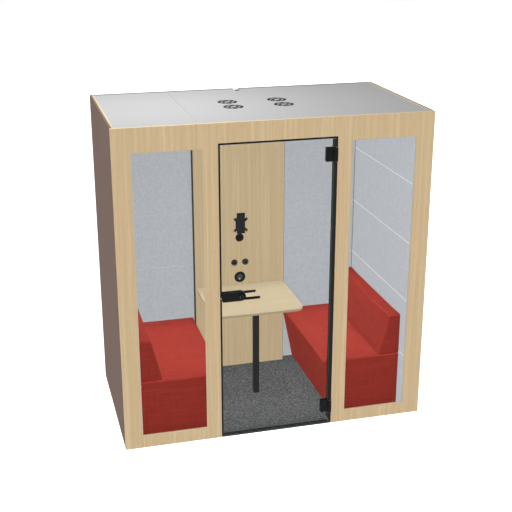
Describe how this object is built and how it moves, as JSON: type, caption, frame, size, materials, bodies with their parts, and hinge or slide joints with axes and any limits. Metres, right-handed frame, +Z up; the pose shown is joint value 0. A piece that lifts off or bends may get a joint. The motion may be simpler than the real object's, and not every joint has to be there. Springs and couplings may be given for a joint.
{
  "type": "acoustic office pod",
  "caption": "Free-standing acoustic meeting booth with a wood-framed glazed front, hinged glass door, felt-lined walls, facing red benches, a table and roof fans.",
  "frame": {"origin": "on the floor, at the middle of the overall width and of the overall depth including the outer door lever", "axes": "+Z up, +Y towards the rear wall, -Y is the door side, +X to the right when facing the door from outside"},
  "size_m": [2.2, 1.2646, 2.285],
  "materials": {
    "deck_board": "matte",
    "carpet_pile": "matte",
    "foot_plastic": "matte",
    "taupe_laminate": "matte",
    "wall_core": "matte",
    "grey_felt": "matte",
    "panel_veneer": "satin",
    "front_veneer": "satin",
    "clear_glass": "gloss",
    "roof_laminate": "matte",
    "ceiling_board": "matte",
    "light_diffuser": "satin",
    "black_plastic": "matte",
    "frame_metal": "satin",
    "black_metal": "satin",
    "latch_steel": "satin",
    "seal_rubber": "matte",
    "red_upholstery": "matte",
    "table_veneer": "satin"
  },
  "bodies": {
    "pod": {"floor_deck": "deck_board", "carpet": "carpet_pile", "foot_front_left": "foot_plastic", "foot_front_right": "foot_plastic", "foot_rear_left": "foot_plastic", "foot_rear_right": "foot_plastic", "outer_panel_left": "taupe_laminate", "outer_panel_right": "taupe_laminate", "outer_panel_rear": "taupe_laminate", "wall_core_left": "wall_core", "wall_core_right": "wall_core", "felt_lining_left": "grey_felt", "felt_lining_right": "grey_felt", "rear_lining": "grey_felt", "rear_board_lower": "panel_veneer", "rear_board_middle": "panel_veneer", "rear_board_upper": "panel_veneer", "front_corner_left": "front_veneer", "front_corner_right": "front_veneer", "front_post_left": "front_veneer", "front_post_right": "front_veneer", "front_top_rail": "front_veneer", "window_glass_left": "clear_glass", "window_glass_right": "clear_glass", "roof_panel_left": "roof_laminate", "roof_panel_centre": "roof_laminate", "roof_panel_right": "roof_laminate", "ceiling_panel": "ceiling_board", "ceiling_light": "light_diffuser", "power_inlet": "black_plastic", "fan_tray": "black_plastic", "cable_grommet": "black_plastic", "power_socket": "black_plastic", "door_jamb_left": "frame_metal", "door_jamb_right": "frame_metal", "door_head": "frame_metal", "hinge_frame_top": "black_metal", "hinge_frame_bottom": "black_metal", "table_leg": "black_metal", "monitor_wall_plate": "black_metal", "bench_seat_left": "red_upholstery", "bench_seat_right": "red_upholstery", "bench_back_left": "red_upholstery", "bench_back_right": "red_upholstery", "table_top": "table_veneer"},
    "door": {"door_glass": "clear_glass", "door_bottom_seal": "seal_rubber", "hinge_leaf_top": "black_metal", "hinge_leaf_bottom": "black_metal", "lock_case": "black_metal"},
    "levers": {"lever_outer": "black_metal", "lever_inner": "black_metal"},
    "latch": {"latch_bolt": "latch_steel"},
    "light_push": {"light_button": "black_plastic"},
    "fan_push": {"fan_button": "black_plastic"},
    "monitor_tilt": {"monitor_head": "black_metal"},
    "fan_front_left": {"fan_rotor_front_left": "black_plastic"},
    "fan_front_right": {"fan_rotor_front_right": "black_plastic"},
    "fan_rear_left": {"fan_rotor_rear_left": "black_plastic"},
    "fan_rear_right": {"fan_rotor_rear_right": "black_plastic"}
  },
  "joints": [
    {"name": "door_swing", "type": "hinge", "parent": "pod", "child": "door", "pos_m": [0.4, -0.58675, 1.08], "axis": [0, 0, 1], "range_deg": [0, 110]},
    {"name": "lever_turn", "type": "hinge", "parent": "door", "child": "levers", "pos_m": [-0.261, -0.56075, 1.076], "axis": [0, 1, 0], "range_deg": [0, 40], "stiffness_Nm_per_rad": 1.2, "springref_deg": -34.38},
    {"name": "latch_slide", "type": "slide", "parent": "door", "child": "latch", "axis": [1, 0, 0], "range_m": [0, 0.012]},
    {"name": "light_press", "type": "slide", "parent": "pod", "child": "light_push", "axis": [0, 1, 0], "range_m": [0, 0.0025], "stiffness_N_per_m": 600, "springref_m": -0.002},
    {"name": "fan_press", "type": "slide", "parent": "pod", "child": "fan_push", "axis": [0, 1, 0], "range_m": [0, 0.0025], "stiffness_N_per_m": 600, "springref_m": -0.002},
    {"name": "monitor_tilt", "type": "hinge", "parent": "pod", "child": "monitor_tilt", "pos_m": [0, 0.49825, 1.24], "axis": [1, 0, 0], "range_deg": [-15, 15]},
    {"name": "fan_spin_front_left", "type": "hinge", "parent": "pod", "child": "fan_front_left", "pos_m": [-0.182, -0.06475, 2.247], "axis": [0, 0, 1], "continuous": true},
    {"name": "fan_spin_front_right", "type": "hinge", "parent": "pod", "child": "fan_front_right", "pos_m": [0.182, -0.06475, 2.247], "axis": [0, 0, 1], "continuous": true},
    {"name": "fan_spin_rear_left", "type": "hinge", "parent": "pod", "child": "fan_rear_left", "pos_m": [-0.182, 0.11925, 2.247], "axis": [0, 0, 1], "continuous": true},
    {"name": "fan_spin_rear_right", "type": "hinge", "parent": "pod", "child": "fan_rear_right", "pos_m": [0.182, 0.11925, 2.247], "axis": [0, 0, 1], "continuous": true}
  ],
  "couplings": [
    {"joint": "latch_slide", "follows": "lever_turn", "m_per_rad": 0.01718}
  ]
}
